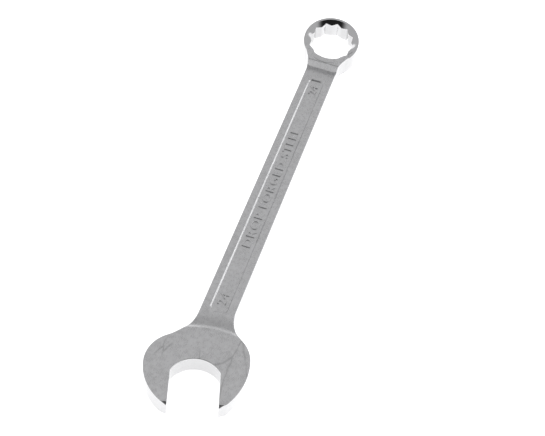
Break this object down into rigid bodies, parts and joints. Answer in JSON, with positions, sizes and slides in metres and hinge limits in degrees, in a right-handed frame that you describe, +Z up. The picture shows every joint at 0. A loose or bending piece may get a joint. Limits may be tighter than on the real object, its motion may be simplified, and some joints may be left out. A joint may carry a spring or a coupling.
{
  "type": "combination wrench",
  "caption": "Forged combination wrench with an angled open end, a flat shank with sunk panels, and a tilted twelve-point ring end for the same hexagon.",
  "frame": {"origin": "middle of the wrench's footprint, on the surface that it lies on", "axes": "+X runs along the shank from the open end to the ring end, +Z is up out of the surface that it lies on, and +Y completes a right-handed frame"},
  "size_m": [0.2948, 0.0508, 0.0228],
  "materials": {
    "satin_chrome": "satin chrome plate over a finely ground forging",
    "polished_chrome": "polished chrome plate"
  },
  "bodies": {
    "root": {"left_jaw": "satin_chrome", "right_jaw": "satin_chrome", "head_web": "satin_chrome", "shank": "satin_chrome", "ring_neck": "satin_chrome", "ring_head": "polished_chrome", "open_end_numerals": "satin_chrome", "ring_end_numerals": "satin_chrome", "raised_wording": "satin_chrome"}
  },
  "joints": []
}
